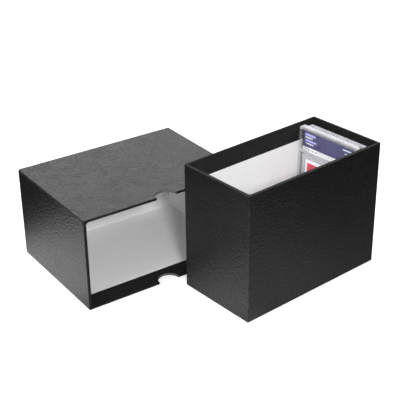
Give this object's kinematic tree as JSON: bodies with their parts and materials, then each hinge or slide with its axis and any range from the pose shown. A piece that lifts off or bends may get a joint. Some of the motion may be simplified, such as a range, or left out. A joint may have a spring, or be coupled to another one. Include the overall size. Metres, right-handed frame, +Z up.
{
  "type": "trading card drawer box",
  "caption": "Paper-covered rigid slipcase lying on its side, with thumb notches in its mouth, and its open-topped drawer standing beside it with clear card holders standing inside.",
  "frame": {"origin": "centre of the sleeve's underside as it lies on its side", "axes": "+X along the sleeve's long side to its right end, +Y from its mouth to its back, +Z up"},
  "size_m": [0.3033, 0.2585, 0.1423],
  "materials": {
    "greyboard": "raw grey solid board",
    "stay_tape": "brown kraft paper tape",
    "black_leatherette_paper": "black embossed leather-grain cover paper, satin",
    "white_liner_card": "smooth matt white liner",
    "clear_shell": "clear moulded plastic with frosted raised rim",
    "clear_frame": "clear moulded plastic",
    "card_stock": "coated printed card",
    "label_paper": "printed indigo label with a white strip"
  },
  "bodies": {
    "sleeve": {"sleeve_top_board": "greyboard", "sleeve_bottom_board": "greyboard", "sleeve_back_board": "greyboard", "sleeve_left_board": "greyboard", "sleeve_right_board": "greyboard", "sleeve_corner_stays": "stay_tape", "sleeve_top_cover": "black_leatherette_paper", "sleeve_bottom_cover": "black_leatherette_paper", "sleeve_side_strip": "black_leatherette_paper", "sleeve_top_liner": "white_liner_card", "sleeve_bottom_liner": "white_liner_card", "sleeve_side_liner": "white_liner_card"},
    "drawer": {"drawer_base_board": "greyboard", "drawer_front_board": "greyboard", "drawer_rear_board": "greyboard", "drawer_left_board": "greyboard", "drawer_right_board": "greyboard", "drawer_corner_stays": "stay_tape", "drawer_side_wrap": "black_leatherette_paper", "drawer_base_sheet": "black_leatherette_paper", "drawer_floor_liner": "white_liner_card", "drawer_wall_liner": "white_liner_card"},
    "holder_1": {"holder_1_front_shell": "clear_shell", "holder_1_rear_shell": "clear_shell", "holder_1_card_frame": "clear_frame", "holder_1_card": "card_stock", "holder_1_label": "label_paper"},
    "holder_2": {"holder_2_front_shell": "clear_shell", "holder_2_rear_shell": "clear_shell", "holder_2_card_frame": "clear_frame", "holder_2_card": "card_stock", "holder_2_label": "label_paper"}
  },
  "joints": [
    {"name": "drawer_lift", "type": "slide", "parent": "sleeve", "child": "drawer", "axis": [0, 0, 1], "range_m": [0, 0.1428]},
    {"name": "holder_1_lift", "type": "slide", "parent": "drawer", "child": "holder_1", "axis": [0.0347, 0.0034, 0.9994], "range_m": [0, 0.145]},
    {"name": "holder_2_lift", "type": "slide", "parent": "drawer", "child": "holder_2", "axis": [0.0347, 0.0034, 0.9994], "range_m": [0, 0.145]}
  ]
}
